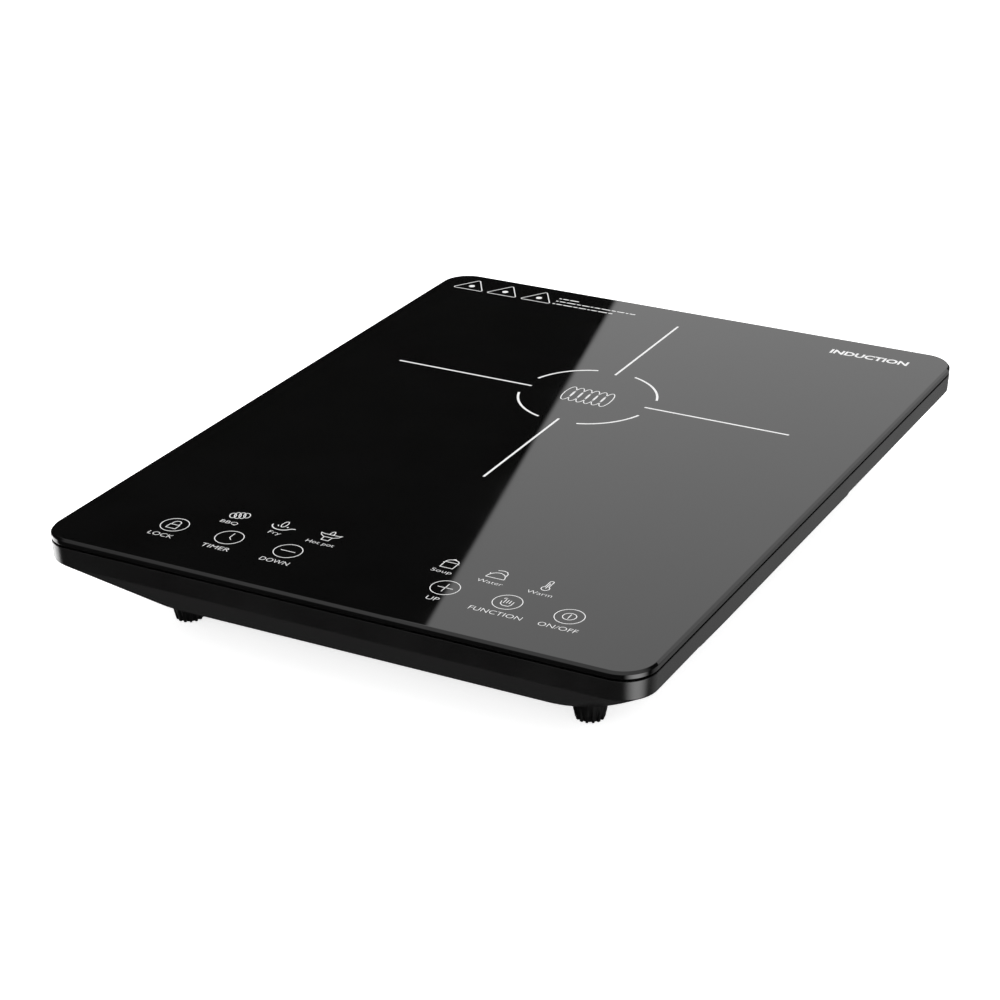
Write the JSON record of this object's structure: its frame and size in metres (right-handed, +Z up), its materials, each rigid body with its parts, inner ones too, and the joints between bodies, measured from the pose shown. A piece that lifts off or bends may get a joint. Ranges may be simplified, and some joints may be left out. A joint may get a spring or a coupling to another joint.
{
  "type": "portable induction cooktop",
  "caption": "Slim free-standing cooktop: a black glass plate bonded to a frame over a tapered tray on round feet, with an induction coil, fan and touch keys inside.",
  "frame": {"origin": "on the surface the feet stand on, under the middle of the glass plate", "axes": "+Z up, +X to the right along the row of touch keys, +Y to the back, where the cord gland is"},
  "size_m": [0.28, 0.36, 0.0495],
  "materials": {
    "black_glass": "polished black glass-ceramic",
    "seal_silicone": "matt black silicone",
    "casing_plastic": "satin black moulded plastic",
    "foot_rubber": "black rubber",
    "zinc_steel": "zinc plated",
    "former_resin": "natural glass-filled resin",
    "enamelled_copper": "enamelled copper strand",
    "ferrite": "pressed ferrite",
    "mica_sheet": "mica paper",
    "sensor_silicone": "white silicone",
    "fan_plastic": "black moulded",
    "board_laminate": "green solder resist on glass laminate",
    "aluminium": "extruded",
    "component_epoxy": "moulded epoxy",
    "capacitor_case": "box case",
    "transformer_tape": "polyester tape",
    "fuse_ceramic": "glazed",
    "cable_sleeve": "silicone sleeve"
  },
  "bodies": {
    "casing": {"board_screw_front_left": "zinc_steel", "board_screw_front_right": "zinc_steel", "board_screw_rear_left": "zinc_steel", "board_screw_rear_right": "zinc_steel", "bottom_case": "casing_plastic", "bridge_rectifier": "component_epoxy", "buzzer": "component_epoxy", "case_screw_front_left": "zinc_steel", "case_screw_front_right": "zinc_steel", "case_screw_rear_left": "zinc_steel", "case_screw_rear_right": "zinc_steel", "coil_former": "former_resin", "coil_lead_inner": "cable_sleeve", "coil_lead_outer": "cable_sleeve", "coil_screw_1": "zinc_steel", "coil_screw_2": "zinc_steel", "coil_screw_3": "zinc_steel", "coil_winding": "enamelled_copper", "control_board": "board_laminate", "cord_gland": "foot_rubber", "display_module": "component_epoxy", "fan_frame": "fan_plastic", "fan_screw_front": "zinc_steel", "fan_screw_rear": "zinc_steel", "ferrite_bar_1": "ferrite", "ferrite_bar_2": "ferrite", "ferrite_bar_3": "ferrite", "ferrite_bar_4": "ferrite", "ferrite_bar_5": "ferrite", "ferrite_bar_6": "ferrite", "filter_capacitor": "capacitor_case", "filter_choke": "enamelled_copper", "foot_front_left": "foot_rubber", "foot_front_right": "foot_rubber", "foot_rear_left": "foot_rubber", "foot_rear_right": "foot_rubber", "glass_plate": "black_glass", "glass_seal": "seal_silicone", "heatsink": "aluminium", "insulation_sheet": "mica_sheet", "mains_fuse": "fuse_ceramic", "mains_lead": "cable_sleeve", "panel_screw_left": "zinc_steel", "panel_screw_right": "zinc_steel", "power_board": "board_laminate", "power_transistor": "component_epoxy", "resonant_capacitor": "capacitor_case", "ribbon_cable": "cable_sleeve", "sensor_spring": "zinc_steel", "switching_transformer": "transformer_tape", "terminal_block": "former_resin", "top_frame": "casing_plastic", "touch_spring_down": "zinc_steel", "touch_spring_function": "zinc_steel", "touch_spring_lock": "zinc_steel", "touch_spring_on_off": "zinc_steel", "touch_spring_timer": "zinc_steel", "touch_spring_up": "zinc_steel"},
    "fan": {"fan_rotor": "fan_plastic"},
    "sensor": {"temperature_sensor": "sensor_silicone"}
  },
  "joints": [
    {"name": "fan_spin", "type": "hinge", "parent": "casing", "child": "fan", "pos_m": [-0.058, 0.06, 0.0225], "axis": [0, 0, 1], "continuous": true},
    {"name": "sensor_press", "type": "slide", "parent": "casing", "child": "sensor", "axis": [0, 0, 1], "range_m": [-0.0015, 0], "stiffness_N_per_m": 400, "springref_m": 0.002, "deforming": ["sensor_spring"]}
  ]
}
